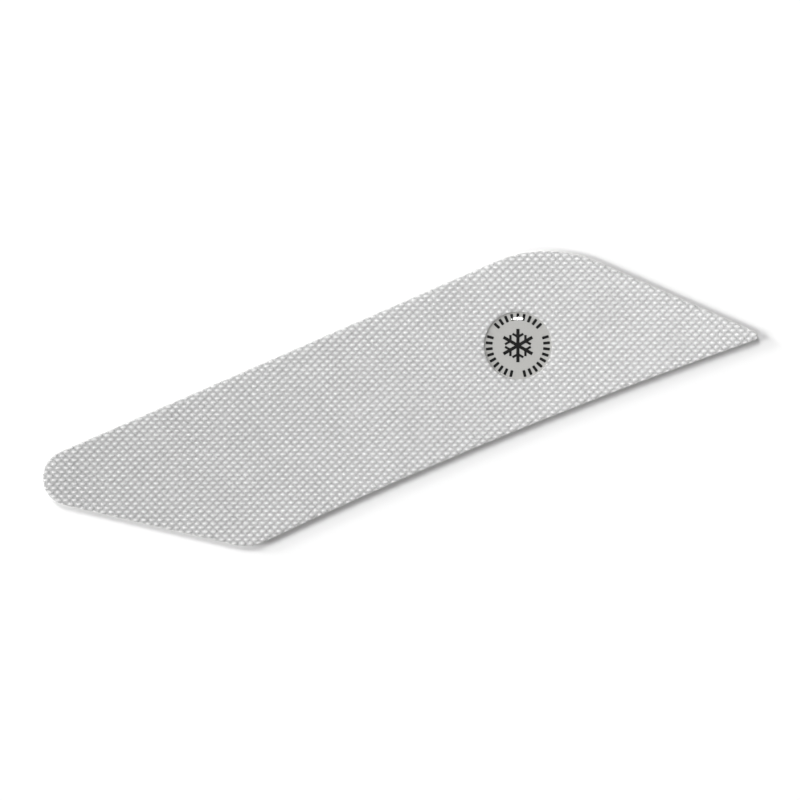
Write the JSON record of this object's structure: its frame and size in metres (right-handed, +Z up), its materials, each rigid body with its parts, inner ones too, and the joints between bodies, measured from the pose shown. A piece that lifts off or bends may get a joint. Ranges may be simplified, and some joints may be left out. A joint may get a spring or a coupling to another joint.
{
  "type": "snowboard stomp pad",
  "caption": "Long tapered self-adhesive grip pad of frosted elastomer with small low studs, a round clear badge, and a peel-off liner.",
  "frame": {"origin": "middle of the pad's bounding box, on the underside of the release liner", "axes": "+X along the rows of studs, from the rounded nose towards the pointed tip; +Z up, out of the studded face"},
  "size_m": [0.24, 0.099, 0.0023],
  "materials": {
    "elastomer": "frosted translucent moulded elastomer, satin",
    "adhesive": "clear pressure-sensitive adhesive, tacky satin",
    "carrier_film": "clear polyester film",
    "liner": "siliconised paper, smooth and slightly fibrous",
    "badge_film": "satin silver-grey label film",
    "ink": "black screen-printed ink",
    "clear_resin": "clear poured polyurethane, glossy"
  },
  "bodies": {
    "pad": {"board_side_adhesive": "adhesive", "tape_carrier_film": "carrier_film", "sheet_side_adhesive": "adhesive", "grip_sheet": "elastomer", "badge_adhesive": "adhesive", "badge_film": "badge_film", "badge_crystal_print": "ink", "badge_ring_print": "ink", "badge_lens": "clear_resin"},
    "liner": {"release_liner": "liner"}
  },
  "joints": [
    {"name": "liner_peel", "type": "hinge", "parent": "pad", "child": "liner", "pos_m": [-0.04145, 0.01394, 0.00013], "axis": [0.916, 0.4011, 0], "range_deg": [0, 180]}
  ]
}
